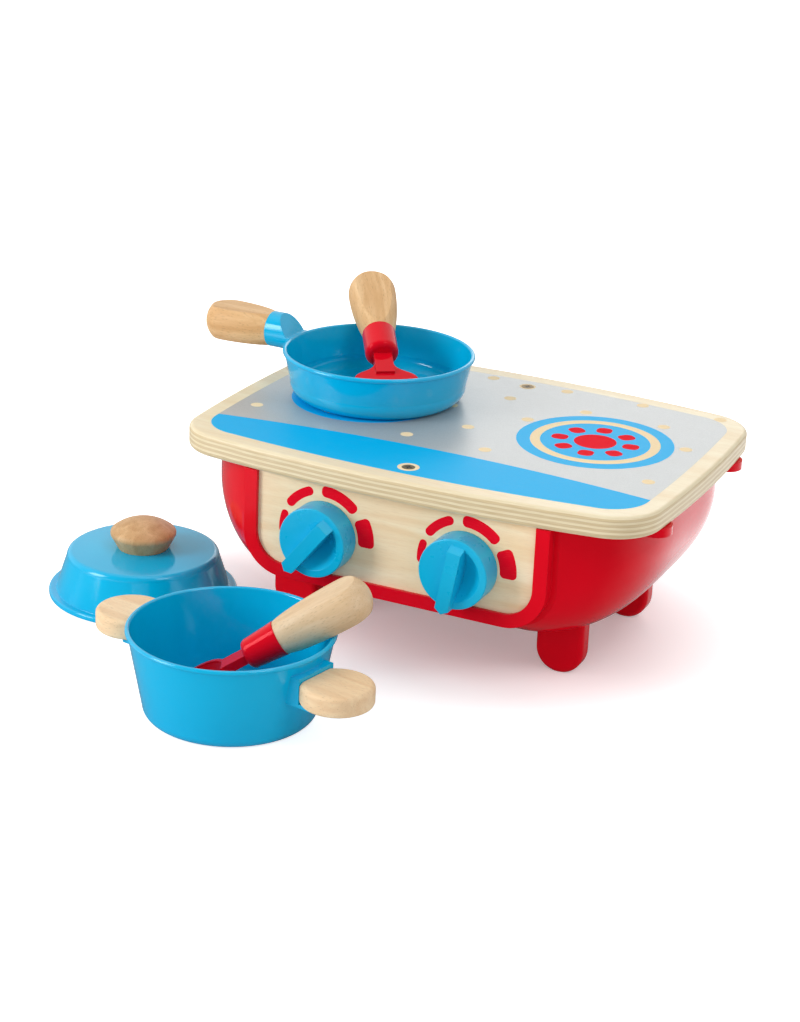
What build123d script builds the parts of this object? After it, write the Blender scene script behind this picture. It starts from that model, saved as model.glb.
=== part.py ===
from build123d import *
import math
import os

os.makedirs("parts", exist_ok=True)

# A toy hob for the table top: a plywood board on a moulded body with two clicking knobs.
# A pan with a spatula stands on it, and a pot with a ladle and a lid stand in front of it.
# The floor is z = 0, +X is to the right of someone facing the knobs, +Y leads away from them.
# The origin is on the floor, in the middle of the whole set. Sizes are millimetres.

# Clearances
rest_gap = 0.3
running_fit = 0.06
glue_fit = 0.05
thread_gap = 0.05
cut_clearance = 1.0

# Hob board
board_length = 340.0
board_depth = 251.4
board_thickness = 15.0
board_front_bow = 14.7
board_side_bow = 5.2
board_corner_radius = 35.0
board_edge_radius = 3.0
hob_height = 135.0

# Board screws, countersunk from above into the cross rails
board_screw_radius = 2.0
board_screw_length = 25.0
board_screw_head_radius = 4.4
countersink_angle = 90.0

# Cross rails under the board
rail_width = 19.0
rail_height = 15.0
rail_half_length = 112.0
rail_end_gap = 0.3

# Housing
rim_half_width = 108.0
rim_bottom = 49.0
rim_corner = 29.0
rim_depth = 7.4
rim_overlap = 1.0
flare_step = 4.0
belly_half_width = 160.5
belly_bottom = 29.0
belly_corner_share = 0.81
belly_fullness = 4.0
housing_half_depth = 119.4
housing_wall = 3.0
tab_thickness = 3.0
tab_inner_end = 100.0
tab_length = 15.0

# Feet, moulded with the housing
foot_width = 33.0
foot_thickness = 14.0
foot_edge_radius = 3.5
front_foot_half_spread = 98.0
rear_foot_half_spread = 103.0
front_foot_from_middle = 57.0
rear_foot_from_middle = 52.0
foot_flat_depth = 0.8

# Screw ears under the board's side edges
ear_radius = 11.0
ear_thickness = 6.0
ear_from_middle = 70.0
ear_screw_radius = 1.7
ear_screw_bite = 9.0
ear_screw_head_radius = 3.5
ear_screw_head_height = 2.2

# Wooden panels, held in a groove behind each rim
panel_thickness = 6.0
panel_half_width = 98.5
panel_bottom = 58.0
panel_corner = 20.0
panel_recess = 2.5
groove_depth = 3.0
groove_back_lip = 2.5

# Knobs
knob_from_middle = 50.0
knob_height = 84.0
knob_radius = 23.5
knob_body_depth = 17.5
knob_bar_width = 9.5
knob_bar_proud = 5.5
knob_tip_reach = 26.5
knob_tip_point = 3.0
knob_tip_clearance = 1.5
knob_tail_reach = 16.5
knob_tail_run = 3.0
knob_dish_radius = 18.5
knob_dish_depth = 8.5
knob_edge_radius = 0.8
knob_back_hollow = 3.0
knob_back_wall = 2.5
left_knob_angle = 231.7
right_knob_angle = 260.4

# Knob shaft, click wheel and click plate
shaft_radius = 5.0
shaft_flat = 3.2
wheel_radius = 9.0
wheel_thickness = 4.0
wheel_lobes = 12
valley_radius = 1.6
valley_depth = 1.0
plate_thickness = 2.0
plate_width = 50.0
plate_height = 32.0
plate_corner = 5.0
collar_wall = 3.0
click_arm_thickness = 1.3
click_arm_root = 17.0
click_arm_root_width = 5.0
plate_screw_from_middle = 20.0
plate_screw_radius = 1.25
plate_screw_bite = 4.5
screw_end_gap = 0.5
plate_screw_head_radius = 2.8
plate_screw_head_height = 1.8
knob_screw_radius = 1.5
knob_screw_bite = 9.0
knob_screw_head_radius = 2.9
knob_screw_head_height = 2.0
knob_washer_radius = 5.5
knob_washer_thickness = 0.8

# Pan
pan_right = -81.5
pan_back = 21.5
pan_radius = 66.8
pan_height = 33.0
pan_base_radius = 50.0
pan_shoulder_radius = 61.5
pan_shoulder_height = 12.0
pan_handle_angle = 178.0
socket_radius = 12.5
socket_axis_height = 34.0
socket_end = 85.5
socket_slope_start = 67.5
socket_slope_end = 77.0
pan_grip_length = 52.5
pan_tenon_length = 9.0

# Pot
pot_right = -57.5
pot_back = -223.3
pot_radius = 65.8
pot_height = 57.5
pot_base_radius = 48.0
pot_shoulder_radius = 55.3
pot_shoulder_height = 7.0
pot_lug_angle = -11.2
vessel_wall = 2.2
bead_radius = 1.5

# Pot lugs, wooden discs cut flat against their bosses
lug_radius = 23.0
lug_thickness = 13.5
lug_bottom = 32.5
lug_reach = 84.0
lug_edge_radius = 3.0
boss_face = 67.5
boss_half_width = 16.5
boss_margin = 2.5
boss_ledge = 9.0
lug_tenon_length = 4.0
lug_tenon_radius = 4.0

# Lid
lid_right = -204.6
lid_back = -88.0
lid_radius = 65.3
lid_height = 31.6
lid_flange_thickness = 4.0
lid_wall_foot_radius = 60.5
lid_wall_top_radius = 52.8
lid_top_round = 4.0
lid_crown = 1.5
lid_knob_base_radius = 17.3
lid_knob_radius = 23.7
lid_knob_widest = 11.5
lid_knob_height = 21.0
lid_knob_edge_radius = 3.5
lid_screw_radius = 2.0
lid_screw_length = 14.0
lid_screw_head_radius = 4.0
lid_screw_head_height = 2.5
lid_washer_radius = 7.0
lid_washer_thickness = 1.0

# Spatula and ladle: head, neck and ferrule in one moulding
head_length = 44.0
neck_length = 14.5
neck_width = 13.0
neck_thickness = 6.0
ferrule_length = 24.5
ferrule_radius = 11.7
ferrule_round = 4.0
ladle_ferrule_neck_radius = 10.0
blade_width = 45.0
blade_thickness = 2.4
blade_corner = 14.0
blade_shoulder = 14.0
blade_blend = 7.0
bowl_radius = 22.5
bowl_depth = 14.0
bowl_wall = 2.2
spatula_angle = 123.5
spatula_lean_angle = 21.4
spatula_tip_height = 4.0
spatula_offset = 4.0
ladle_angle = 27.5
ladle_lean_angle = 31.8
ladle_tip_height = 7.4

# Grips, turned and then flattened on two sides
grip_length = 63.5
grip_small_radius = 11.2
grip_large_radius = 17.0
grip_half_thickness = 11.4
tenon_radius = 6.0
tool_tenon_length = 17.0

# Places that follow from the sizes above
board_underside = hob_height - board_thickness
belly_corner = belly_corner_share * (board_underside - belly_bottom)
board_half_length = board_length / 2
board_half_depth = board_depth / 2
hob_x = -(board_half_length + lid_right - lid_radius) / 2
hob_y = -(board_half_depth + pot_back - pot_radius) / 2
belly_end = housing_half_depth - rim_depth
panel_face = housing_half_depth - panel_recess
groove_back = panel_face - panel_thickness - rest_gap
cavity_end = groove_back - groove_back_lip
rail_from_middle = cavity_end - rail_end_gap - rail_width / 2
foot_radius = foot_width / 2
collar_radius = shaft_radius + running_fit + collar_wall
lug_height = lug_bottom + lug_thickness / 2
ear_places = [
    (side * (board_half_length - ear_radius), end * ear_from_middle) for side in (-1, 1) for end in (-1, 1)
]
rail_places = [(0, -rail_from_middle), (0, rail_from_middle)]
foot_places = [
    (side * spread, back)
    for side in (-1, 1)
    for spread, back in (
        (front_foot_half_spread, -front_foot_from_middle),
        (rear_foot_half_spread, rear_foot_from_middle),
    )
]


def level(height):
    """Horizontal plane over the middle of the hob, at that height above the floor."""
    return Plane(origin=(hob_x, hob_y, height), x_dir=(1, 0, 0), z_dir=(0, 0, 1))


def upright(back):
    """Plane facing the user, at that distance behind the middle of the hob."""
    return Plane(origin=(hob_x, hob_y + back, 0), x_dir=(1, 0, 0), z_dir=(0, -1, 0))


def standing(right, back, height, angle):
    """Plane of a vessel's base, its X axis turned by the angle."""
    turn = math.radians(angle)
    place = (hob_x + right, hob_y + back, height)
    return Plane(origin=place, x_dir=(math.cos(turn), math.sin(turn), 0), z_dir=(0, 0, 1))


def side_of(frame):
    """Plane through a frame's X and Z axes, for profiles to be turned."""
    return Plane(origin=frame.origin, x_dir=frame.x_dir, z_dir=-frame.y_dir)


def across(frame, distance, height=0):
    """Plane square to a frame's X axis, that far along it and that far up its Z axis."""
    place = frame.origin + frame.x_dir * distance + frame.z_dir * height
    return Plane(origin=place, x_dir=frame.y_dir, z_dir=frame.x_dir)


def turned(profile, frame, along):
    """Solid of revolution of a profile about one of the frame's axes."""
    with BuildPart(mode=Mode.PRIVATE) as solid:
        revolve(profile, axis=Axis(frame.origin, along))
    return solid.part


def keep(piece, label):
    """Names a finished piece and writes it."""
    piece.part.label = label
    export_step(piece.part, f"parts/{label}.step")


def board_outline():
    """Four bowed edges with large round corners."""
    corner_x = board_half_length - board_side_bow
    corner_y = board_half_depth - board_front_bow
    with BuildSketch(level(board_underside)) as outline:
        with BuildLine():
            ThreePointArc((-corner_x, -corner_y), (0, -board_half_depth), (corner_x, -corner_y))
            ThreePointArc((corner_x, -corner_y), (board_half_length, 0), (corner_x, corner_y))
            ThreePointArc((corner_x, corner_y), (0, board_half_depth), (-corner_x, corner_y))
            ThreePointArc((-corner_x, corner_y), (-board_half_length, 0), (-corner_x, -corner_y))
        make_face()
        fillet(outline.vertices(), board_corner_radius)
    return outline.sketch


# Hob board
with BuildPart() as hob_board:
    extrude(board_outline(), amount=board_thickness)
    fillet(hob_board.edges().group_by(Axis.Z)[-1], board_edge_radius)
    fillet(hob_board.edges().group_by(Axis.Z)[0], board_edge_radius)
    with BuildSketch(level(board_underside)):
        with Locations(*ear_places):
            Circle(ear_screw_radius + thread_gap)
    extrude(amount=ear_screw_bite + cut_clearance, mode=Mode.SUBTRACT)
    with Locations(level(hob_height)):
        with Locations(*rail_places):
            CounterSinkHole(
                board_screw_radius + thread_gap,
                board_screw_head_radius + thread_gap,
                counter_sink_angle=countersink_angle,
            )
keep(hob_board, "hob_board")


def cross_rail(end):
    """Batten under the board, stepped at each end over the housing's tab."""
    middle = end * rail_from_middle
    step_length = rail_half_length - tab_inner_end + rest_gap
    step_middle = rail_half_length - step_length / 2
    with BuildPart() as rail:
        with BuildSketch(level(board_underside)):
            with Locations((0, middle)):
                Rectangle(2 * rail_half_length, rail_width)
        extrude(amount=-rail_height)
        with BuildSketch(level(board_underside)):
            with Locations((-step_middle, middle), (step_middle, middle)):
                Rectangle(step_length, rail_width)
        extrude(amount=-tab_thickness - rest_gap, mode=Mode.SUBTRACT)
        with BuildSketch(level(board_underside)):
            with Locations((0, middle)):
                Circle(board_screw_radius + thread_gap)
        extrude(amount=board_thickness - board_screw_length - cut_clearance, mode=Mode.SUBTRACT)
    return rail


keep(cross_rail(-1), "front_rail")
keep(cross_rail(1), "rear_rail")

# Countersunk board screws
with BuildPart() as board_screws:
    with BuildSketch(level(hob_height)):
        with Locations(*rail_places):
            Circle(board_screw_radius)
    extrude(amount=-board_screw_length)
    for right, back in rail_places:
        cone_depth = board_screw_head_radius - board_screw_radius
        cone_depth = cone_depth / math.tan(math.radians(countersink_angle / 2))
        with Locations(level(hob_height - cone_depth / 2)):
            with Locations((right, back)):
                Cone(board_screw_radius, board_screw_head_radius, cone_depth)
keep(board_screws, "board_screws")


def flat_head_screws(plane, places, radius, bite, head_radius, head_height):
    """Screws whose heads stand on the plane and whose shanks go below it."""
    with BuildPart() as screws:
        with BuildSketch(plane):
            with Locations(*places):
                Circle(head_radius)
        extrude(amount=head_height)
        fillet(screws.faces().sort_by(Axis(plane.origin, plane.z_dir))[-len(places) :].edges(), head_height / 3)
        with BuildSketch(plane):
            with Locations(*places):
                Circle(radius)
        extrude(amount=-bite)
    return screws


def channel(back, half_width, bottom, corner):
    """U section with round lower corners, closed along the underside of the board."""
    with BuildSketch(upright(back)) as section:
        with Locations((0, bottom)):
            Rectangle(2 * half_width, board_underside - bottom, align=(Align.CENTER, Align.MIN))
        fillet(section.vertices().group_by(Axis.Y)[0], corner)
    return section.sketch


def belly_section(share, end, skin):
    """Section of the belly at a share of the distance to its end, taken in by the skin."""
    swell = 1 - abs(share * end / belly_end) ** belly_fullness
    flare_half_width = rim_half_width + flare_step
    half_width = flare_half_width + (belly_half_width - flare_half_width) * swell
    bottom = rim_bottom + (belly_bottom - rim_bottom) * swell
    corner = rim_corner + (belly_corner - rim_corner) * swell
    return channel(share * end, half_width - skin, bottom + skin, corner - skin)


def foot(right, back):
    """Tongue-shaped foot with a small flat to stand on."""
    with BuildPart() as tongue:
        with BuildSketch(upright(back)):
            with Locations((right, foot_radius - foot_flat_depth)):
                Circle(foot_radius)
                Rectangle(foot_width, belly_bottom, align=(Align.CENTER, Align.MIN))
        extrude(amount=foot_thickness / 2, both=True)
        outline = tongue.faces().filter_by(Axis.Y).edges().sort_by(Axis.Z)[:-2]
        fillet(outline, foot_edge_radius)
        with BuildSketch(level(0)):
            with Locations((right, back)):
                Rectangle(foot_width, foot_thickness)
        extrude(amount=-foot_flat_depth, mode=Mode.SUBTRACT)
    return tongue.part


# Housing: a trough lofted from rim to rim, with a hollow of the same form inside it
stations = (-1, -0.85, -0.5, 0, 0.5, 0.85, 1)
tab_root = cavity_end + groove_back_lip / 2
tab_reach = tab_root - (rail_from_middle - rail_width / 2)
with BuildPart() as housing:
    loft([belly_section(share, belly_end, 0) for share in stations])
    for end in (-1, 1):
        rim = channel(end * housing_half_depth, rim_half_width, rim_bottom, rim_corner)
        extrude(rim, amount=end * (rim_depth + rim_overlap))
    for right, back in foot_places:
        add(foot(right, back))
    for right, back in ear_places:
        with BuildSketch(level(board_underside)):
            with Locations((right, back)):
                Circle(ear_radius)
            with Locations((right - math.copysign(ear_radius, right), back)):
                Rectangle(2 * ear_radius, 2 * ear_radius)
        extrude(amount=-ear_thickness)
    loft([belly_section(share, cavity_end, housing_wall) for share in stations], mode=Mode.SUBTRACT)
    opening = channel(-housing_half_depth, panel_half_width, panel_bottom, panel_corner)
    extrude(opening, amount=-2 * housing_half_depth, mode=Mode.SUBTRACT)
    for end in (-1, 1):
        groove = channel(
            end * groove_back,
            panel_half_width + groove_depth + rest_gap,
            panel_bottom - groove_depth - rest_gap,
            panel_corner + groove_depth + rest_gap,
        )
        extrude(groove, amount=-end * (panel_face - groove_back), mode=Mode.SUBTRACT)
        with BuildSketch(level(board_underside)):
            for side in (-1, 1):
                tab_middle = side * (tab_inner_end + tab_length / 2)
                with Locations((tab_middle, end * (tab_root - tab_reach / 2))):
                    Rectangle(tab_length, tab_reach)
        extrude(amount=-tab_thickness)
    with BuildSketch(level(board_underside)):
        with Locations(*ear_places):
            Circle(ear_screw_radius + thread_gap)
    extrude(amount=-ear_thickness, mode=Mode.SUBTRACT)
keep(housing, "housing")

# Ear screws, driven up into the board
ears = Plane(origin=(hob_x, hob_y, board_underside - ear_thickness), x_dir=(1, 0, 0), z_dir=(0, 0, -1))
ear_screws = flat_head_screws(
    ears,
    ear_places,
    ear_screw_radius,
    ear_thickness + ear_screw_bite,
    ear_screw_head_radius,
    ear_screw_head_height,
)
keep(ear_screws, "ear_screws")

knob_places = [(-knob_from_middle, knob_height), (knob_from_middle, knob_height)]
plate_screw_places = [
    (middle + side * plate_screw_from_middle, height) for middle, height in knob_places for side in (-1, 1)
]


def panel(end):
    """Plywood panel that slides down into the rim's groove; end -1 is the front."""
    with BuildPart() as board:
        outline = channel(
            end * panel_face,
            panel_half_width + groove_depth,
            panel_bottom - groove_depth,
            panel_corner + groove_depth,
        )
        extrude(outline, amount=end * panel_thickness)
    return board


with BuildPart() as front_panel:
    add(panel(-1).part)
    with BuildSketch(upright(-panel_face)):
        with Locations(*knob_places):
            Circle(collar_radius + glue_fit)
    extrude(amount=-panel_thickness, mode=Mode.SUBTRACT)
    with BuildSketch(upright(panel_thickness - panel_face)):
        with Locations(*plate_screw_places):
            Circle(plate_screw_radius + thread_gap)
    extrude(amount=plate_screw_bite - plate_thickness + screw_end_gap, mode=Mode.SUBTRACT)
keep(front_panel, "front_panel")
keep(panel(1), "back_panel")


def knob_frame(middle, angle):
    """Frame of a knob: Z out of the panel towards the user, X along the pointer."""
    turn = math.radians(angle)
    place = (hob_x + middle, hob_y - panel_face, knob_height)
    return Plane(origin=place, x_dir=(math.cos(turn), 0, math.sin(turn)), z_dir=(0, -1, 0))


def knob(frame):
    """Knob with a pointed finger bar, a dished hollow beside it and its own shaft."""
    bar_height = knob_body_depth + knob_bar_proud
    bar_back = panel_recess + knob_tip_clearance
    bar_half = knob_bar_width / 2
    tail_end = knob_tail_reach + knob_tail_run
    neck = knob_tip_reach - knob_tip_point
    back = frame.offset(rest_gap)
    shaft_end = panel_thickness + plate_thickness + rest_gap
    with BuildPart() as bar:
        with BuildSketch(frame.offset(bar_back)):
            with BuildLine():
                Polyline(
                    (-tail_end, -bar_half),
                    (neck, -bar_half),
                    (knob_tip_reach, 0),
                    (neck, bar_half),
                    (-tail_end, bar_half),
                    close=True,
                )
            make_face()
        extrude(amount=bar_height - bar_back)
        with BuildSketch(side_of(frame)):
            with BuildLine():
                Polyline(
                    (-knob_tail_reach, bar_height),
                    (-tail_end, knob_body_depth),
                    (-tail_end, bar_height),
                    close=True,
                )
            make_face()
        extrude(amount=knob_bar_width, both=True, mode=Mode.SUBTRACT)
    with BuildPart() as dish:
        with BuildSketch(side_of(frame)):
            with BuildLine():
                rim = (knob_dish_radius, knob_body_depth)
                floor = (0, knob_body_depth - knob_dish_depth)
                TangentArc(floor, rim, tangent=(1, 0))
                Polyline(rim, (knob_dish_radius, bar_height), (0, bar_height), floor)
            make_face()
        revolve(axis=Axis(frame.origin, frame.z_dir))
        with BuildSketch(frame):
            with Locations((0, bar_half)):
                Rectangle(2 * knob_radius, 2 * knob_radius, align=(Align.CENTER, Align.MIN))
        extrude(amount=bar_height, mode=Mode.INTERSECT)
    with BuildPart() as body:
        with BuildSketch(back):
            Circle(knob_radius)
        extrude(amount=knob_body_depth - rest_gap)
        fillet(body.faces().sort_by(Axis(frame.origin, frame.z_dir))[-1].edges(), knob_edge_radius)
        add(dish.part, mode=Mode.SUBTRACT)
        add(bar.part)
        with BuildSketch(back):
            Circle(knob_radius - knob_back_wall)
            Circle(shaft_radius + knob_back_wall, mode=Mode.SUBTRACT)
        extrude(amount=knob_back_hollow, mode=Mode.SUBTRACT)
        with BuildSketch(back):
            Circle(shaft_radius)
        extrude(amount=-shaft_end - rest_gap)
        with BuildSketch(frame.offset(-shaft_end)):
            Circle(shaft_radius)
            with Locations((0, shaft_flat)):
                Rectangle(2 * shaft_radius, shaft_radius, align=(Align.CENTER, Align.MIN), mode=Mode.SUBTRACT)
        extrude(amount=rest_gap - wheel_thickness)
        with BuildSketch(frame.offset(-shaft_end - wheel_thickness)):
            Circle(knob_screw_radius + thread_gap)
        extrude(amount=knob_screw_bite + cut_clearance, mode=Mode.SUBTRACT)
    return body


def click_wheel(frame, detent_frame):
    """Lobed wheel on the shaft's flat; its valleys line up with the click finger."""
    front = -(panel_thickness + plate_thickness + rest_gap)
    with BuildPart() as wheel:
        with BuildSketch(detent_frame.offset(front)):
            Circle(wheel_radius)
            with PolarLocations(wheel_radius + valley_radius - valley_depth, wheel_lobes, start_angle=90):
                Circle(valley_radius, mode=Mode.SUBTRACT)
        extrude(amount=-wheel_thickness)
        with BuildSketch(frame.offset(front)):
            Circle(shaft_radius + glue_fit)
            with Locations((0, shaft_flat + glue_fit)):
                Rectangle(3 * shaft_radius, shaft_radius, align=(Align.CENTER, Align.MIN), mode=Mode.SUBTRACT)
        extrude(amount=-wheel_thickness, mode=Mode.SUBTRACT)
    return wheel


def click_plate(frame):
    """Bearing plate behind the panel with a collar for the shaft and a springy click finger."""
    back = frame.offset(-panel_thickness)
    finger_height = wheel_radius + valley_radius - valley_depth
    arm_height = finger_height + valley_radius - rest_gap
    with BuildPart() as plate:
        with BuildSketch(back):
            RectangleRounded(plate_width, plate_height, plate_corner)
            with Locations((-plate_screw_from_middle, 0), (plate_screw_from_middle, 0)):
                Circle(plate_screw_radius + thread_gap, mode=Mode.SUBTRACT)
        extrude(amount=-plate_thickness)
        with BuildSketch(back):
            Circle(collar_radius)
        extrude(amount=panel_thickness - rest_gap)
        with BuildSketch(frame):
            Circle(shaft_radius + running_fit)
        extrude(amount=-panel_thickness - plate_thickness, mode=Mode.SUBTRACT)
        with BuildSketch(back.offset(-plate_thickness)):
            with Locations((-click_arm_root, finger_height)):
                Rectangle(click_arm_root_width, 2 * click_arm_root_width, align=(Align.MIN, Align.CENTER))
        extrude(amount=-wheel_thickness)
        with BuildSketch(back.offset(-plate_thickness - rest_gap)):
            with Locations((-click_arm_root, arm_height)):
                Rectangle(click_arm_root + valley_radius, click_arm_thickness, align=(Align.MIN, Align.MIN))
            with Locations((0, finger_height)):
                Circle(valley_radius - rest_gap)
                Rectangle(2 * (valley_radius - rest_gap), valley_radius, align=(Align.CENTER, Align.MIN))
        extrude(amount=rest_gap - wheel_thickness)
    return plate


for name, middle, angle in (
    ("left", -knob_from_middle, left_knob_angle),
    ("right", knob_from_middle, right_knob_angle),
):
    pointer = knob_frame(middle, angle)
    panel_frame = knob_frame(middle, 0)
    keep(knob(pointer), f"{name}_knob")
    keep(click_wheel(pointer, panel_frame), f"{name}_click_wheel")
    keep(click_plate(panel_frame), f"{name}_click_plate")
    wheel_back = -(panel_thickness + plate_thickness + rest_gap + wheel_thickness)
    with BuildPart() as washer:
        with BuildSketch(panel_frame.offset(wheel_back)):
            Circle(knob_washer_radius)
            Circle(knob_screw_radius + thread_gap, mode=Mode.SUBTRACT)
        extrude(amount=-knob_washer_thickness)
    keep(washer, f"{name}_knob_washer")
    under_head = panel_frame.offset(wheel_back - knob_washer_thickness)
    screw_plane = Plane(origin=under_head.origin, x_dir=(1, 0, 0), z_dir=-under_head.z_dir)
    screw = flat_head_screws(
        screw_plane,
        [(0, 0)],
        knob_screw_radius,
        knob_washer_thickness + knob_screw_bite,
        knob_screw_head_radius,
        knob_screw_head_height,
    )
    keep(screw, f"{name}_knob_screw")

# Click plate screws, driven forward into the panel
plate_back = upright(panel_thickness + plate_thickness - panel_face)
plate_rear = Plane(origin=plate_back.origin, x_dir=(1, 0, 0), z_dir=(0, 1, 0))
click_plate_screws = flat_head_screws(
    plate_rear,
    [(right, -height) for right, height in plate_screw_places],
    plate_screw_radius,
    plate_screw_bite,
    plate_screw_head_radius,
    plate_screw_head_height,
)
keep(click_plate_screws, "click_plate_screws")


def vessel(frame, base_radius, shoulder_radius, shoulder_height, radius, height):
    """Turned vessel: flat base, round shoulder, sloped wall and a beaded rim."""
    lip = radius - bead_radius
    bead_height = height - bead_radius
    slant = bead_radius * math.sqrt(0.5)
    inner_shoulder = shoulder_radius - vessel_wall
    with BuildSketch(side_of(frame)) as wall:
        with BuildLine():
            Line((0, 0), (base_radius, 0))
            TangentArc((base_radius, 0), (shoulder_radius, shoulder_height), tangent=(1, 0))
            Line((shoulder_radius, shoulder_height), (lip, bead_height - bead_radius))
            ThreePointArc((lip, bead_height - bead_radius), (radius, bead_height), (lip, height))
            ThreePointArc((lip, height), (lip - slant, bead_height + slant), (lip - bead_radius, bead_height))
            Line((lip - bead_radius, bead_height), (inner_shoulder, shoulder_height))
            TangentArc((base_radius, vessel_wall), (inner_shoulder, shoulder_height), tangent=(1, 0))
            Polyline((base_radius, vessel_wall), (0, vessel_wall), (0, 0))
        make_face()
    return turned(wall.sketch, frame, frame.z_dir)


def vessel_core(frame, shoulder_radius, shoulder_height, radius, height):
    """Solid that reaches to the middle of a vessel's wall, to trim what is moulded onto it."""
    lip = radius - bead_radius
    mid_wall = (vessel_wall / 2, bead_radius / 2)
    with BuildSketch(side_of(frame)) as core:
        with BuildLine():
            Polyline(
                (0, shoulder_height),
                (shoulder_radius - mid_wall[0], shoulder_height),
                (lip - mid_wall[1], height - bead_radius),
                (lip - mid_wall[1], 2 * height),
                (0, 2 * height),
                close=True,
            )
        make_face()
    return turned(core.sketch, frame, frame.z_dir)


def grip(frame, length, small_radius, tenon_length):
    """Wooden grip with a tenon at its root, turned about the frame's X axis and flattened."""
    widest = (length - grip_large_radius, grip_large_radius)
    bulge = grip_large_radius * math.sqrt(0.5)
    with BuildSketch(side_of(frame)) as profile:
        with BuildLine():
            TangentArc(widest, (0, small_radius), tangent=(-1, 0))
            ThreePointArc(widest, (length - grip_large_radius + bulge, bulge), (length, 0))
            Polyline(
                (length, 0),
                (-tenon_length, 0),
                (-tenon_length, tenon_radius),
                (0, tenon_radius),
                (0, small_radius),
            )
        make_face()
    with BuildPart() as handle:
        add(turned(profile.sketch, frame, frame.x_dir))
        with BuildSketch(side_of(frame)):
            for side, edge in ((1, Align.MIN), (-1, Align.MAX)):
                with Locations((length / 2, side * grip_half_thickness)):
                    Rectangle(length, grip_large_radius, align=(Align.CENTER, edge))
        extrude(amount=2 * grip_large_radius, both=True, mode=Mode.SUBTRACT)
    return handle


# Pan with its handle socket
pan_frame = standing(pan_right, pan_back, hob_height, pan_handle_angle)
socket_top = socket_axis_height + socket_radius
with BuildPart() as pan_bowl:
    with BuildSketch(across(pan_frame, pan_shoulder_radius - vessel_wall, socket_axis_height)):
        Circle(socket_radius)
    extrude(amount=socket_end - pan_shoulder_radius + vessel_wall)
    with BuildSketch(side_of(pan_frame)):
        with BuildLine():
            Polyline(
                (0, pan_height),
                (socket_slope_start, pan_height),
                (socket_slope_end, socket_top),
                (socket_slope_end, socket_top + cut_clearance),
                (0, socket_top + cut_clearance),
                close=True,
            )
        make_face()
    extrude(amount=socket_radius + cut_clearance, both=True, mode=Mode.SUBTRACT)
    add(
        vessel_core(pan_frame, pan_shoulder_radius, pan_shoulder_height, pan_radius, pan_height),
        mode=Mode.SUBTRACT,
    )
    add(
        vessel(
            pan_frame, pan_base_radius, pan_shoulder_radius, pan_shoulder_height, pan_radius, pan_height
        )
    )
    with BuildSketch(across(pan_frame, socket_end, socket_axis_height)):
        Circle(tenon_radius + glue_fit)
    extrude(amount=-pan_tenon_length - rest_gap, mode=Mode.SUBTRACT)
keep(pan_bowl, "pan_bowl")
pan_grip_frame = Plane(
    origin=pan_frame.origin + pan_frame.x_dir * socket_end + pan_frame.z_dir * socket_axis_height,
    x_dir=pan_frame.x_dir,
    z_dir=pan_frame.z_dir,
)
pan_grip = grip(pan_grip_frame, pan_grip_length, socket_radius - rest_gap, pan_tenon_length)
keep(pan_grip, "pan_grip")

# Pot with a boss for each lug
pot_frame = standing(pot_right, pot_back, 0, pot_lug_angle)
boss_bottom = lug_bottom - rest_gap - boss_margin
with BuildPart() as pot_bowl:
    for side in (-1, 1):
        with BuildSketch(pot_frame.offset(boss_bottom)):
            with Locations((side * boss_face, 0)):
                Rectangle(
                    boss_face - pot_base_radius,
                    2 * boss_half_width,
                    align=(Align.MAX if side > 0 else Align.MIN, Align.CENTER),
                )
        extrude(amount=lug_thickness + rest_gap + 2 * boss_margin)
        with BuildSketch(pot_frame.offset(boss_bottom)):
            with Locations((side * boss_face, 0)):
                Rectangle(2 * boss_ledge, 2 * boss_half_width)
        extrude(amount=boss_margin)
    add(
        vessel_core(pot_frame, pot_shoulder_radius, pot_shoulder_height, pot_radius, pot_height),
        mode=Mode.SUBTRACT,
    )
    add(
        vessel(
            pot_frame, pot_base_radius, pot_shoulder_radius, pot_shoulder_height, pot_radius, pot_height
        )
    )
    for side in (-1, 1):
        with BuildSketch(across(pot_frame, side * boss_face, lug_height)):
            Circle(lug_tenon_radius + glue_fit)
        extrude(amount=-side * (lug_tenon_length + rest_gap), mode=Mode.SUBTRACT)
keep(pot_bowl, "pot_bowl")


def pot_lug(side):
    """Wooden disc with a flat against the boss and a tenon into it."""
    with BuildPart() as lug:
        with BuildSketch(pot_frame.offset(lug_bottom)):
            with Locations((side * lug_reach, 0)):
                Circle(lug_radius)
        extrude(amount=lug_thickness)
        fillet(lug.edges().filter_by(GeomType.CIRCLE), lug_edge_radius)
        with BuildSketch(pot_frame.offset(lug_bottom)):
            with Locations((side * (boss_face + rest_gap), 0)):
                Rectangle(lug_radius, 2 * lug_radius, align=(Align.MAX if side > 0 else Align.MIN, Align.CENTER))
        extrude(amount=lug_thickness, mode=Mode.SUBTRACT)
        with BuildSketch(across(pot_frame, side * (boss_face - lug_tenon_length), lug_height)):
            Circle(lug_tenon_radius)
        extrude(amount=side * (lug_tenon_length + cut_clearance))
    return lug


keep(pot_lug(-1), "left_pot_lug")
keep(pot_lug(1), "right_pot_lug")

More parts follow.
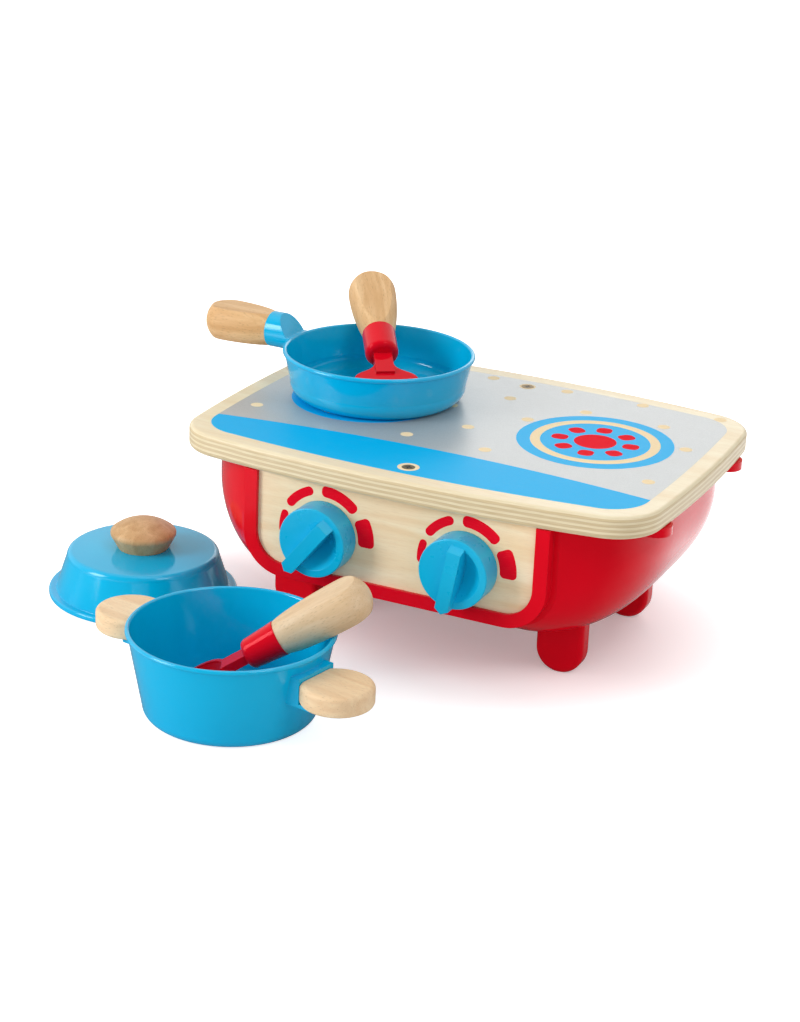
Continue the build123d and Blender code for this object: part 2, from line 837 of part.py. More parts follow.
# Lid
lid_frame = standing(lid_right, lid_back, 0, 0)
lid_seat_radius = lid_knob_base_radius + 1
lid_top = lid_height + lid_crown
with BuildPart() as lid_shell:
    with BuildSketch(side_of(lid_frame)):
        with BuildLine():
            shoulder = (lid_wall_top_radius, lid_height - lid_top_round)
            crease = (lid_wall_top_radius - lid_top_round, lid_height)
            Polyline(
                (0, 0), (lid_radius, 0), (lid_radius, lid_flange_thickness), (lid_wall_foot_radius, lid_flange_thickness)
            )
            Line((lid_wall_foot_radius, lid_flange_thickness), shoulder)
            TangentArc(crease, shoulder, tangent=(1, 0))
            Line(crease, (lid_seat_radius, lid_top))
            Polyline((lid_seat_radius, lid_top), (0, lid_top), (0, 0))
        make_face()
    revolve(axis=Axis(lid_frame.origin, lid_frame.z_dir))
    flange_edges = lid_shell.edges().filter_by(GeomType.CIRCLE).filter_by(
        lambda edge: edge.radius > lid_radius - 0.01
    )
    fillet(flange_edges, lid_flange_thickness / 3)
    with BuildSketch(side_of(lid_frame)):
        with BuildLine():
            inner_shoulder = (lid_wall_top_radius - vessel_wall, lid_height - lid_top_round)
            inner_crease = (lid_wall_top_radius - lid_top_round, lid_height - vessel_wall)
            Polyline((0, 0), (lid_wall_foot_radius - vessel_wall, 0), inner_shoulder)
            TangentArc(inner_crease, inner_shoulder, tangent=(1, 0))
            Line(inner_crease, (lid_seat_radius, lid_top - vessel_wall))
            Polyline((lid_seat_radius, lid_top - vessel_wall), (0, lid_top - vessel_wall), (0, 0))
        make_face()
    revolve(axis=Axis(lid_frame.origin, lid_frame.z_dir), mode=Mode.SUBTRACT)
    with BuildSketch(lid_frame):
        Circle(lid_screw_radius + thread_gap)
    extrude(amount=lid_top, mode=Mode.SUBTRACT)
keep(lid_shell, "lid_shell")

with BuildPart() as lid_knob:
    with BuildSketch(side_of(lid_frame.offset(lid_top))) as knob_profile:
        with BuildLine():
            Polyline((0, 0), (lid_knob_base_radius, 0), (lid_knob_radius, lid_knob_widest))
            TangentArc((0, lid_knob_height), (lid_knob_radius, lid_knob_widest), tangent=(1, 0))
            Line((0, lid_knob_height), (0, 0))
        make_face()
        fillet(knob_profile.vertices().sort_by(Axis.X)[-1], lid_knob_edge_radius)
    revolve(axis=Axis(lid_frame.origin, lid_frame.z_dir))
    with BuildSketch(lid_frame.offset(lid_top)):
        Circle(lid_screw_radius + thread_gap)
    extrude(amount=lid_screw_length, mode=Mode.SUBTRACT)
keep(lid_knob, "lid_knob")

under_lid = lid_top - vessel_wall
with BuildPart() as lid_washer:
    with BuildSketch(lid_frame.offset(under_lid)):
        Circle(lid_washer_radius)
        Circle(lid_screw_radius + thread_gap, mode=Mode.SUBTRACT)
    extrude(amount=-lid_washer_thickness)
keep(lid_washer, "lid_washer")
lid_screw_seat = Plane(
    origin=lid_frame.offset(under_lid - lid_washer_thickness).origin, x_dir=(1, 0, 0), z_dir=(0, 0, -1)
)
lid_screw = flat_head_screws(
    lid_screw_seat,
    [(0, 0)],
    lid_screw_radius,
    lid_screw_length,
    lid_screw_head_radius,
    lid_screw_head_height,
)
keep(lid_screw, "lid_screw")


def leaning(frame, rim_radius, rim_height, angle, slope, tip_height, offset):
    """Frame of a tool whose grip leans on a vessel's rim, X up along the tool, origin at its tip.

    The grip's lower flat clears the round rim by the rest gap, also at the flat's edges, and the
    tool's axis starts where it is tip_height above the vessel's base.
    """
    turn = math.radians(angle)
    rise = math.radians(slope)
    out = Vector(math.cos(turn), math.sin(turn), 0)
    sideways = Vector(-math.sin(turn), math.cos(turn), 0)
    along = out * math.cos(rise) + Vector(0, 0, math.sin(rise))
    above = out * -math.sin(rise) + Vector(0, 0, math.cos(rise))
    bead = rim_radius - bead_radius
    reach = math.sqrt(bead**2 - offset**2)
    crossing = frame.origin + out * reach - sideways * offset + Vector(0, 0, rim_height - bead_radius)
    flat_half_width = math.sqrt(grip_large_radius**2 - grip_half_thickness**2)
    rim_sag = (flat_half_width + offset) ** 2 / (2 * bead) * math.sin(rise)
    contact = crossing + above * (grip_half_thickness + bead_radius + rest_gap + rim_sag)
    drop = contact.Z - frame.origin.Z - tip_height
    return Plane(origin=contact - along * (drop / math.sin(rise)), x_dir=along, z_dir=above)


def tool_head(frame, neck_end_radius):
    """Neck and ferrule with the socket for a grip."""
    ferrule_start = head_length + neck_length
    ferrule_end = ferrule_start + ferrule_length
    with BuildSketch(side_of(frame)) as profile:
        with BuildLine():
            Polyline(
                (ferrule_start, 0),
                (ferrule_end, 0),
                (ferrule_end, ferrule_radius),
                (ferrule_start + ferrule_round, neck_end_radius),
            )
            TangentArc(
                (ferrule_start, neck_end_radius - ferrule_round),
                (ferrule_start + ferrule_round, neck_end_radius),
                tangent=(0, 1),
            )
            Line((ferrule_start, neck_end_radius - ferrule_round), (ferrule_start, 0))
        make_face()
    with BuildPart() as head:
        add(turned(profile.sketch, frame, frame.x_dir))
        with BuildSketch(across(frame, head_length - neck_thickness)):
            Rectangle(neck_width, neck_thickness)
        extrude(amount=neck_length + neck_thickness + ferrule_round)
        with BuildSketch(across(frame, ferrule_end)):
            Circle(tenon_radius + glue_fit)
        extrude(amount=-tool_tenon_length - rest_gap, mode=Mode.SUBTRACT)
    return head.part


def tool_grip(frame):
    """Grip seated on a tool's ferrule."""
    root = across(frame, head_length + neck_length + ferrule_length).origin
    seat = Plane(origin=root, x_dir=frame.x_dir, z_dir=frame.z_dir)
    return grip(seat, grip_length, grip_small_radius, tool_tenon_length)


# Spatula, leaning on the pan's rim
spatula_frame = leaning(
    pan_frame,
    pan_radius,
    pan_height,
    spatula_angle,
    spatula_lean_angle,
    spatula_tip_height,
    spatula_offset,
)
with BuildPart() as spatula_head:
    add(tool_head(spatula_frame, ferrule_radius))
    with BuildSketch(spatula_frame.offset(-blade_thickness / 2)) as blade:
        with BuildLine():
            half = blade_width / 2
            shoulder = head_length - blade_shoulder
            neck_half = neck_width / 2
            neck_start = head_length + blade_blend
            Polyline((shoulder, half), (0, half), (0, -half), (shoulder, -half))
            Spline((shoulder, -half), (neck_start, -neck_half), tangents=((1, 0), (1, 0)))
            Line((neck_start, -neck_half), (neck_start, neck_half))
            Spline((neck_start, neck_half), (shoulder, half), tangents=((-1, 0), (-1, 0)))
        make_face()
        fillet(blade.vertices().group_by(Axis.X)[0], blade_corner)
    extrude(amount=blade_thickness)
keep(spatula_head, "spatula_head")
keep(tool_grip(spatula_frame), "spatula_grip")

# Ladle, leaning on the pot's rim
ladle_frame = leaning(
    standing(pot_right, pot_back, 0, 0),
    pot_radius,
    pot_height,
    ladle_angle,
    ladle_lean_angle,
    ladle_tip_height,
    0,
)
with BuildPart() as ladle_head:
    add(tool_head(ladle_frame, ladle_ferrule_neck_radius))
    bowl_middle = head_length / 2
    bowl_axis = Axis(across(ladle_frame, bowl_middle).origin, ladle_frame.z_dir)
    for radius, depth, mode in (
        (bowl_radius, bowl_depth, Mode.ADD),
        (bowl_radius - bowl_wall, bowl_depth - bowl_wall, Mode.SUBTRACT),
    ):
        with BuildSketch(side_of(ladle_frame)):
            with BuildLine():
                top = neck_thickness
                TangentArc((bowl_middle, -depth), (bowl_middle + radius, 0), tangent=(1, 0))
                Polyline(
                    (bowl_middle + radius, 0),
                    (bowl_middle + radius, top if mode == Mode.SUBTRACT else bowl_wall / 2),
                    (bowl_middle, top if mode == Mode.SUBTRACT else bowl_wall / 2),
                    (bowl_middle, -depth),
                )
            make_face()
        revolve(axis=bowl_axis, mode=mode)
keep(ladle_head, "ladle_head")
keep(tool_grip(ladle_frame), "ladle_grip")
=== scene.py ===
import math

import bpy
from mathutils import Matrix, Vector
from mathutils.geometry import tessellate_polygon


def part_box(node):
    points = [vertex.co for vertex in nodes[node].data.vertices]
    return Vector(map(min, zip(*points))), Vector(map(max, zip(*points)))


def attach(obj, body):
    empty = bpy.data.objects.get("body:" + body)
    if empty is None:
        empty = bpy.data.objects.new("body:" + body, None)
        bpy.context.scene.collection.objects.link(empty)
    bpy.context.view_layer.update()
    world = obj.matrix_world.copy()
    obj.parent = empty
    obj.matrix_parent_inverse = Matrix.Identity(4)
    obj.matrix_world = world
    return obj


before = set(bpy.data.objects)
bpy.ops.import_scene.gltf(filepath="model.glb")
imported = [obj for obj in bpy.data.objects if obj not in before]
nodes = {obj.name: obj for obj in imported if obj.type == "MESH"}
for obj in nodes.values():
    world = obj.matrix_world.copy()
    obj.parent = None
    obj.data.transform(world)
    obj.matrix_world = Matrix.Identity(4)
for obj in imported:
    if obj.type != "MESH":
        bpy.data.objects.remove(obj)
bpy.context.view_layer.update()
scene = bpy.context.scene
scene.view_settings.view_transform = "Standard"

MM = 0.001

# Places taken from the frame, in metres
board_low, board_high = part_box("hob_board")
board_top = board_high.z
board_middle = (board_low + board_high) / 2
panel_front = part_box("front_panel")[0].y

# The board's two screws, in millimetres before and behind its middle
SCREW_FROM_MIDDLE = 98.3


# Node trees

def tint(colour):
    """The linear colour of an sRGB colour given as 0 to 255."""
    shares = [c / 255 for c in colour]
    return tuple(c / 12.92 if c < 0.04045 else ((c + 0.055) / 1.055) ** 2.4 for c in shares) + (1.0,)


def darker(colour, share):
    return tuple(c * share for c in colour)


class Nodes:
    """Short calls for the nodes, links and sums of one node tree."""

    def __init__(self, tree):
        self.tree = tree
        tree.nodes.clear()

    def node(self, kind, **settings):
        made = self.tree.nodes.new(kind)
        for key, value in settings.items():
            setattr(made, key, value)
        return made

    def link(self, source, target):
        self.tree.links.new(source, target)

    def feed(self, socket, value):
        """Link a socket to another one, or set its constant."""
        if isinstance(value, bpy.types.NodeSocket):
            self.link(value, socket)
        else:
            socket.default_value = value

    def calc(self, operation, *values):
        made = self.node("ShaderNodeMath", operation=operation)
        for socket, value in zip(made.inputs, values):
            self.feed(socket, value)
        return made.outputs[0]

    def vector(self, operation, *values):
        made = self.node("ShaderNodeVectorMath", operation=operation)
        for socket, value in zip(made.inputs, values):
            self.feed(socket, value)
        return made.outputs["Value" if operation in ("LENGTH", "DOT_PRODUCT") else "Vector"]

    def axes(self, where):
        made = self.node("ShaderNodeSeparateXYZ")
        self.link(where, made.inputs[0])
        return made.outputs

    def place(self, turn=(0, 0, 0), scale=(1, 1, 1), shift=(0, 0, 0)):
        """The object's own coordinates in metres, shifted, turned and then scaled."""
        moved = self.vector("SUBTRACT", self.node("ShaderNodeTexCoord").outputs["Object"], shift)
        turned = self.node("ShaderNodeVectorRotate", rotation_type="EULER_XYZ", invert=True)
        self.link(moved, turned.inputs["Vector"])
        turned.inputs["Rotation"].default_value = turn
        return self.vector("MULTIPLY", turned.outputs[0], scale)

    def noise(self, where, scale, detail=3.0, roughness=0.5, distortion=0.0):
        made = self.node("ShaderNodeTexNoise")
        self.link(where, made.inputs["Vector"])
        made.inputs["Scale"].default_value = scale
        made.inputs["Detail"].default_value = detail
        made.inputs["Roughness"].default_value = roughness
        made.inputs["Distortion"].default_value = distortion
        return made.outputs["Fac"]

    def ramp(self, value, *stops):
        made = self.node("ShaderNodeValToRGB")
        self.link(value, made.inputs[0])
        elements = made.color_ramp.elements
        elements[0].position, elements[0].color = stops[0][0], tint(stops[0][1])
        elements[1].position, elements[1].color = stops[-1][0], tint(stops[-1][1])
        for position, colour in stops[1:-1]:
            elements.new(position).color = tint(colour)
        return made.outputs[0]

    def span(self, value, low, high, to_low, to_high, **settings):
        """The value, from low and high to to_low and to_high and held between them."""
        made = self.node("ShaderNodeMapRange", **settings)
        self.link(value, made.inputs["Value"])
        for socket, amount in zip(("From Min", "From Max", "To Min", "To Max"), (low, high, to_low, to_high)):
            made.inputs[socket].default_value = amount
        return made.outputs[0]

    def mix(self, share, first, second):
        made = self.node("ShaderNodeMix", data_type="RGBA")
        self.feed(made.inputs["Factor"], share)
        for socket, value in ((made.inputs["A"], first), (made.inputs["B"], second)):
            self.feed(socket, value if isinstance(value, bpy.types.NodeSocket) else tint(value))
        return made.outputs["Result"]

    def bump(self, height, strength, distance, edge=0.0):
        """Relief from a height, over edges that look rounded to the given radius."""
        made = self.node("ShaderNodeBump")
        self.link(height, made.inputs["Height"])
        if edge:
            rounded = self.node("ShaderNodeBevel", samples=4)
            rounded.inputs["Radius"].default_value = edge
            self.link(rounded.outputs[0], made.inputs["Normal"])
        made.inputs["Strength"].default_value = strength
        made.inputs["Distance"].default_value = distance
        return made.outputs[0]


class Graph(Nodes):
    """A material's node tree with its Principled shader."""

    def __init__(self, name):
        self.material = bpy.data.materials.new(name)
        self.material.use_nodes = True
        super().__init__(self.material.node_tree)
        self.output = self.node("ShaderNodeOutputMaterial")
        self.shader = self.node("ShaderNodeBsdfPrincipled")
        self.link(self.shader.outputs[0], self.output.inputs["Surface"])

    def finish(self, **sockets):
        """Feed the shader's sockets, whose names are given with underscores for spaces."""
        for name, value in sockets.items():
            self.feed(self.shader.inputs[name.replace("_", " ")], value)
        return self.material


# Materials: each pair of colours is what the noise runs between

MOULDED_EDGE = 0.7 * MM  # radii that the edges look rounded to
TURNED_EDGE = 0.8 * MM
BOARD_FACE = ((245, 232, 199), (236, 214, 173))
PANEL_FACE = ((254, 236, 202), (240, 208, 162))
LONG_PLY = ((238, 226, 194), (224, 205, 165))
END_PLY = ((222, 203, 163), (204, 181, 138))
GLUE_LINE = (196, 166, 122)
PORE_UNDER_INK = (235, 215, 176)
# painted shade: near black standing in for the shadow inside the screws' cross recesses
PAINTED_RECESS_SHADE = (18, 16, 14)
PLIES = 9
PLY_WAVER = 0.15 * MM  # how far a ply wanders up and down


def plastic(name, deep, pale, roughness, specular, sheen):
    """Moulded plastic: a faint clouding of the colour, fine waves and a trace of handling in the gloss."""
    g = Graph(name)
    where = g.place()
    cloud = g.noise(where, scale=14.0, detail=2.0)
    smear = g.noise(where, scale=55.0, detail=4.0, roughness=0.6)
    waves = g.noise(where, scale=240.0, detail=2.0)
    return g.finish(
        Base_Color=g.mix(g.span(cloud, 0.3, 0.7, 0.0, 1.0), deep, pale),
        Roughness=g.span(smear, 0.3, 0.75, roughness * 0.8, roughness * 1.35),
        Specular_IOR_Level=specular,
        Specular_Tint=sheen,
        Normal=g.bump(waves, strength=0.05, distance=0.6 * MM, edge=MOULDED_EDGE),
    )


def turned_wood(name, turn, light, dark, shift=(0, 0, 0), fleck=0.5):
    """Beech with its grain along the turned X axis: long soft bands, and the short flecks of its rays."""
    g = Graph(name)
    bands = g.noise(g.place(turn, (1.0, 9.0, 9.0), shift), 16.0, detail=4.0, roughness=0.55, distortion=0.6)
    fine = g.noise(g.place(turn, (1.0, 16.0, 16.0), shift), 95.0, detail=3.0, roughness=0.6)
    flecks = g.node("ShaderNodeTexVoronoi", feature="F1")
    g.link(g.place(turn, (0.32, 2.2, 1.5), shift), flecks.inputs["Vector"])
    flecks.inputs["Scale"].default_value = 620.0
    spots = g.span(flecks.outputs["Distance"], 0.1, 0.34, fleck, 0.0)
    middle = tuple((a + b) / 2 for a, b in zip(light, dark))
    colour = g.ramp(bands, (0.25, light), (0.5, middle), (0.78, dark))
    colour = g.mix(g.span(fine, 0.45, 0.75, 0.0, 0.28), colour, dark)
    fleck_share = g.calc("MULTIPLY", spots, g.span(fine, 0.35, 0.6, 0.2, 1.0))
    colour = g.mix(fleck_share, colour, darker(dark, 0.74))
    height = g.calc("SUBTRACT", g.calc("MULTIPLY", fine, 0.6), g.calc("MULTIPLY", spots, 0.5))
    return g.finish(
        Base_Color=colour,
        Roughness=g.span(fine, 0.3, 0.7, 0.42, 0.58),
        Specular_IOR_Level=0.35,
        Normal=g.bump(height, strength=0.10, distance=0.4 * MM, edge=TURNED_EDGE),
    )


def veneer_pores(g):
    return g.noise(g.place(scale=(1.0, 14.0, 14.0)), 150.0, detail=2.0, roughness=0.6)


def veneer(g, light, dark, scale_across):
    """Colour and pores of rotary-cut birch along X, with wandering bands."""
    where = g.place(scale=(1.0, scale_across, scale_across))
    bands = g.noise(where, 9.0, detail=4.0, roughness=0.55, distortion=0.8)
    pores = veneer_pores(g)
    colour = g.mix(g.span(bands, 0.32, 0.7, 0.0, 1.0), light, dark)
    return g.mix(g.span(pores, 0.5, 0.8, 0.0, 0.3), colour, darker(dark, 0.86)), pores


def board_material():
    """Veneer on the faces and, on the edge, the plies one above the other with their glue lines."""
    g = Graph("birch_plywood")
    face, pores = veneer(g, *BOARD_FACE, 6.0)
    waver = g.noise(g.place(), 30.0, detail=2.0)
    height = g.calc("ADD", g.axes(g.place())["Z"], g.span(waver, 0.3, 0.7, -PLY_WAVER, PLY_WAVER))
    ply_thickness = (board_high.z - board_low.z) / PLIES
    ply = g.calc("DIVIDE", g.calc("SUBTRACT", height, board_low.z), ply_thickness)
    odd = g.calc("MODULO", g.calc("FLOOR", ply), 2.0)
    from_middle = g.calc("ABSOLUTE", g.calc("SUBTRACT", g.calc("FRACT", ply), 0.5))
    glue = g.span(from_middle, 0.40, 0.5, 0.0, 0.5)
    streaks = g.noise(g.place(scale=(1.0, 1.0, 30.0)), 70.0, detail=3.0, roughness=0.6)
    streak_share = g.span(streaks, 0.3, 0.75, 0.0, 1.0)
    edge = g.mix(odd, g.mix(streak_share, *LONG_PLY), g.mix(streak_share, *END_PLY))
    edge = g.mix(glue, edge, GLUE_LINE)
    true_normal = g.node("ShaderNodeNewGeometry").outputs["True Normal"]
    upright = g.span(g.calc("ABSOLUTE", g.axes(true_normal)["Z"]), 0.80, 0.95, 1.0, 0.0)
    sunk = g.calc("MULTIPLY", g.calc("MULTIPLY", odd, upright), 0.5)
    relief = g.calc("SUBTRACT", g.calc("MULTIPLY", pores, 0.3), sunk)
    return g.finish(
        Base_Color=g.mix(upright, face, edge),
        Roughness=g.span(pores, 0.3, 0.7, 0.34, 0.48),
        Specular_IOR_Level=0.4,
        Coat_Weight=0.15,
        Coat_Roughness=0.25,
        Normal=g.bump(relief, strength=0.18, distance=0.3 * MM),
    )


def panel_material():
    g = Graph("panel_veneer")
    face, pores = veneer(g, *PANEL_FACE, 9.0)
    return g.finish(
        Base_Color=face,
        Roughness=g.span(pores, 0.3, 0.7, 0.40, 0.55),
        Specular_IOR_Level=0.35,
        Normal=g.bump(pores, strength=0.12, distance=0.3 * MM),
    )


def ink(name, first, second, roughness, specular, metallic=0.0):
    """Printing ink on wood: a fine screen grain and the veneer's pores showing through."""
    g = Graph(name)
    speck = g.noise(g.place(), 1560.0, detail=2.0, roughness=0.7)
    pores = veneer_pores(g)
    colour = g.mix(g.span(speck, 0.3, 0.7, 0.0, 1.0), first, second)
    return g.finish(
        Base_Color=g.mix(g.span(pores, 0.55, 0.85, 0.0, 0.06), colour, PORE_UNDER_INK),
        Roughness=g.span(pores, 0.3, 0.7, roughness * 0.9, roughness * 1.2),
        Metallic=metallic,
        Specular_IOR_Level=specular,
        Normal=g.bump(pores, strength=0.08, distance=0.3 * MM),
    )


def steel_material(name, shade, roughness, recess=None):
    """Plated steel; a recess is the middle and reach in Y of two heads whose cross recess is painted near
    black as its shade.
    """
    g = Graph(name)
    scratches = g.noise(g.place(scale=(1.0, 1.0, 4.0)), 900.0, detail=3.0, roughness=0.7)
    colour = g.mix(g.span(scratches, 0.3, 0.7, 0.0, 1.0), shade, darker(shade, 0.82))
    height = scratches
    if recess:
        middle_x, middle_y, reach = recess
        coords = g.axes(g.place(shift=(middle_x, middle_y, 0.0)))
        u = g.calc("ABSOLUTE", coords["X"])
        v = g.calc("ABSOLUTE", g.calc("SUBTRACT", g.calc("ABSOLUTE", coords["Y"]), reach))
        arm = g.span(g.calc("MINIMUM", u, v), 0.5 * MM, 0.7 * MM, 1.0, 0.0)
        cross = g.calc("MULTIPLY", arm, g.span(g.calc("MAXIMUM", u, v), 2.3 * MM, 2.7 * MM, 1.0, 0.0))
        # Painted shade: the cross recess is darkened in colour to stand in for the shadow inside it
        colour = g.mix(cross, colour, PAINTED_RECESS_SHADE)
        height = g.calc("SUBTRACT", scratches, g.calc("MULTIPLY", cross, 8.0))
    return g.finish(
        Base_Color=colour,
        Metallic=1.0,
        Roughness=g.span(scratches, 0.3, 0.7, roughness * 0.8, roughness * 1.3),
        Normal=g.bump(height, strength=0.1, distance=0.1 * MM),
    )


def grain_turn(azimuth, rise):
    """Turn that takes X to a tool's axis, given by its azimuth and rise in degrees."""
    return (0.0, -math.radians(rise), math.radians(azimuth))


# Reflections seen face on take the sheen, grazing ones stay white
RED_SHEEN = (0.8, 0.16, 0.18, 1.0)
BLUE_SHEEN = (0.85, 0.95, 1.0, 1.0)
KNOB_SHEEN = (0.8, 0.95, 1.0, 1.0)
WHITE = (1.0, 1.0, 1.0, 1.0)
RED = plastic("red_moulding", (222, 8, 30), (228, 12, 34), 0.08, 0.5, RED_SHEEN)
BLUE = plastic("blue_moulding", (0, 176, 224), (2, 182, 228), 0.10, 0.6, BLUE_SHEEN)
KNOB_BLUE = plastic("blue_knob_moulding", (0, 178, 222), (4, 184, 226), 0.30, 0.5, KNOB_SHEEN)
NATURAL = plastic("click_moulding", (214, 206, 190), (222, 214, 200), 0.4, 0.4, WHITE)
BOARD = board_material()
PANEL = panel_material()
STEEL = steel_material("zinc_plate", (200, 200, 198), 0.28)
SCREW_HEADS = (board_middle.x, board_middle.y, SCREW_FROM_MIDDLE * MM)
DARK_STEEL = steel_material("screw_steel", (128, 106, 66), 0.4, SCREW_HEADS)

PALE_BEECH = ((236, 210, 176), (214, 180, 136))
WARM_BEECH = ((242, 206, 158), (206, 156, 100))
LUG_BEECH = ((250, 226, 188), (230, 192, 148))
DARK_BEECH = ((222, 186, 140), (188, 144, 96))
PAN_GRAIN, SPATULA_GRAIN, LADLE_GRAIN = grain_turn(178, 0), grain_turn(123.5, 21.4), grain_turn(27.5, 31.8)
LUG_GRAIN, LID_KNOB_GRAIN, RAIL_GRAIN = grain_turn(-11, 0), grain_turn(12, 84), grain_turn(0, 0)
PAN_WOOD = turned_wood("pan_grip_beech", PAN_GRAIN, *WARM_BEECH)
SPATULA_WOOD = turned_wood("spatula_grip_beech", SPATULA_GRAIN, *WARM_BEECH, shift=(0.03, 0.01, 0.0))
LADLE_WOOD = turned_wood("ladle_grip_beech", LADLE_GRAIN, *PALE_BEECH, shift=(0.0, 0.04, 0.0))
LUG_WOOD = turned_wood("pot_lug_beech", LUG_GRAIN, *LUG_BEECH, shift=(0.1, 0.0, 0.0))
KNOB_WOOD = turned_wood("lid_knob_beech", LID_KNOB_GRAIN, *DARK_BEECH, shift=(0.0, 0.1, 0.02), fleck=0.65)
RAIL_WOOD = turned_wood("rail_beech", RAIL_GRAIN, *PALE_BEECH)


def dress(material, *names):
    for name in names:
        slots = nodes[name].data.materials
        if not slots:
            slots.append(material)
        for index in range(len(slots)):
            slots[index] = material


dress(RED, "housing", "spatula_head", "ladle_head")
dress(BLUE, "pan_bowl", "pot_bowl", "lid_shell")
dress(KNOB_BLUE, "left_knob", "right_knob", "left_click_wheel", "right_click_wheel")
dress(NATURAL, "left_click_plate", "right_click_plate")
dress(BOARD, "hob_board")
dress(PANEL, "front_panel", "back_panel")
dress(RAIL_WOOD, "front_rail", "rear_rail")
dress(DARK_STEEL, "board_screws")
dress(STEEL, "ear_screws", "click_plate_screws", "left_knob_washer", "right_knob_washer")
dress(STEEL, "left_knob_screw", "right_knob_screw", "lid_screw", "lid_washer")
dress(PAN_WOOD, "pan_grip")
dress(SPATULA_WOOD, "spatula_grip")
dress(LADLE_WOOD, "ladle_grip")
dress(LUG_WOOD, "left_pot_lug", "right_pot_lug")
dress(KNOB_WOOD, "lid_knob")


# Printed areas: thin plates of ink a little proud of the wood

INK_SINK = 0.02 * MM
INK_LIFT = 0.03 * MM
OVERPRINT_LIFT = 0.06 * MM
TOP_LIFT = 0.09 * MM
CREAM = ink("cream_ink", (252, 232, 192), (246, 218, 174), 0.5, 0.03)
SILVER = ink("silver_ink", (196, 198, 197), (182, 185, 185), 0.36, 0.3, metallic=0.35)
SKY = ink("blue_ink", (0, 182, 240), (0, 177, 236), 0.34, 0.06)
SCARLET = ink("red_ink", (240, 14, 42), (234, 10, 36), 0.5, 0.02)


def counter_clockwise(points, corner):
    """A triangle's three indices, in the order that turns left."""
    a, b, c = (points[i] for i in corner)
    return list(corner) if (b - a).cross(c - a).z > 0 else list(corner)[::-1]


def plate_faces(loops, start):
    """Faces of one closed plate: its top, its underside and the wall of each loop."""
    below = sum(len(loop) for loop in loops)
    if len(loops) == 1:
        tops = [range(below)]
    else:
        flat = [[Vector((x, y, 0.0)) for x, y in loop] for loop in loops]
        points = [point for loop in flat for point in loop]
        tops = [counter_clockwise(points, corner) for corner in tessellate_polygon(flat)]
    faces = []
    for top in tops:
        faces.append([start + i for i in top])
        faces.append([start + below + i for i in reversed(top)])
    first = start
    for number, loop in enumerate(loops):
        for i in range(len(loop)):
            j = (i + 1) % len(loop)
            wall = [first + i, first + below + i, first + below + j, first + j]
            faces.append(wall if number == 0 else wall[::-1])
        first += len(loop)
    return faces


def ink_plates(name, outlines, to_world, lift, material, body):
    """One object of thin closed plates, each from a loop of points in millimetres and its holes, if any."""
    corners = []
    faces = []
    for outline in outlines:
        loops = outline if isinstance(outline[0][0], (tuple, list)) else (outline,)
        faces += plate_faces(loops, len(corners))
        for depth in (lift, -INK_SINK):
            for loop in loops:
                corners += [to_world(x * MM, y * MM, depth) for x, y in loop]
    mesh = bpy.data.meshes.new(name)
    mesh.from_pydata(corners, [], faces)
    mesh.materials.append(material)
    mesh.update()
    piece = bpy.data.objects.new(name, mesh)
    scene.collection.objects.link(piece)
    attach(piece, body)


def on_board(x, y, height):
    return (board_middle.x + x, board_middle.y + y, board_top + height)


def on_panel(x, y, height):
    return (x, panel_front - height, y)


# Points round a ring, a burner's centre, a screw hole and a dot
RING_POINTS, CENTRE_POINTS, HOLE_POINTS, DOT_POINTS = 96, 48, 32, 28


def circle(x, y, radius, count):
    turns = [2 * math.pi * i / count for i in range(count)]
    return [(x + radius * math.cos(a), y + radius * math.sin(a)) for a in turns]


def ring(x, y, outer, inner):
    return (circle(x, y, outer, RING_POINTS), circle(x, y, inner, RING_POINTS))


def rounded_box(x, y, right, forward, corner, turn, count=6):
    """A rounded rectangle of these half sizes, turned about its own middle."""
    loop = []
    c, s = math.cos(turn), math.sin(turn)
    for quarter, (sx, sy) in enumerate(((1, 1), (-1, 1), (-1, -1), (1, -1))):
        for i in range(count + 1):
            a = math.pi / 2 * (quarter + i / count)
            u = sx * (right - corner) + corner * math.cos(a)
            v = sy * (forward - corner) + corner * math.sin(a)
            loop.append((x + u * c - v * s, y + u * s + v * c))
    return loop


# The cooking top's print, in millimetres from the board's middle
HALF_LENGTH, HALF_DEPTH = 170.0, 125.7
FRONT_BOW, SIDE_BOW = 14.7, 5.2
MARGIN, SIDE_MARGIN, PRINT_CORNER = 14.8, 13.2, 28.0
FRONT_STEPS, CORNER_STEPS, SIDE_STEPS = 24, 16, 12
CORNER_ROUNDS = 40  # repeats that close in on the corner's middle
STRIPE_MIDDLE, STRIPE_END_DROP, STRIPE_END = -59.0, 12.0, 150.0
STRIPE_STEPS = 40


def print_front(x):
    return -(HALF_DEPTH - MARGIN - FRONT_BOW * (x / HALF_LENGTH) ** 2)


def print_side(y):
    return HALF_LENGTH - SIDE_MARGIN - SIDE_BOW * (y / HALF_DEPTH) ** 2


def corner_middle():
    """Middle of the right front corner's arc, which touches both bowed edges."""
    x, y = HALF_LENGTH - SIDE_MARGIN - PRINT_CORNER, -(HALF_DEPTH - MARGIN - PRINT_CORNER)
    for _ in range(CORNER_ROUNDS):
        x, y = print_side(y) - PRINT_CORNER, print_front(x) + PRINT_CORNER
    return x, y


def print_outline():
    """The bowed rectangle inside the margin, counter-clockwise from the middle of its front edge."""
    cx, cy = corner_middle()
    right = [(cx * i / FRONT_STEPS, print_front(cx * i / FRONT_STEPS)) for i in range(FRONT_STEPS)]
    for i in range(CORNER_STEPS + 1):
        a = math.radians(-90 + 90 * i / CORNER_STEPS)
        right.append((cx + PRINT_CORNER * math.cos(a), cy + PRINT_CORNER * math.sin(a)))
    for i in range(1, SIDE_STEPS + 1):
        y = cy * (1 - i / SIDE_STEPS)
        right.append((print_side(y), y))
    right += [(x, -y) for x, y in right[-2::-1]]
    return right + [(-x, y) for x, y in right[-2:0:-1]]


def stripe_edge(x):
    return STRIPE_MIDDLE - STRIPE_END_DROP * (x / STRIPE_END) ** 2


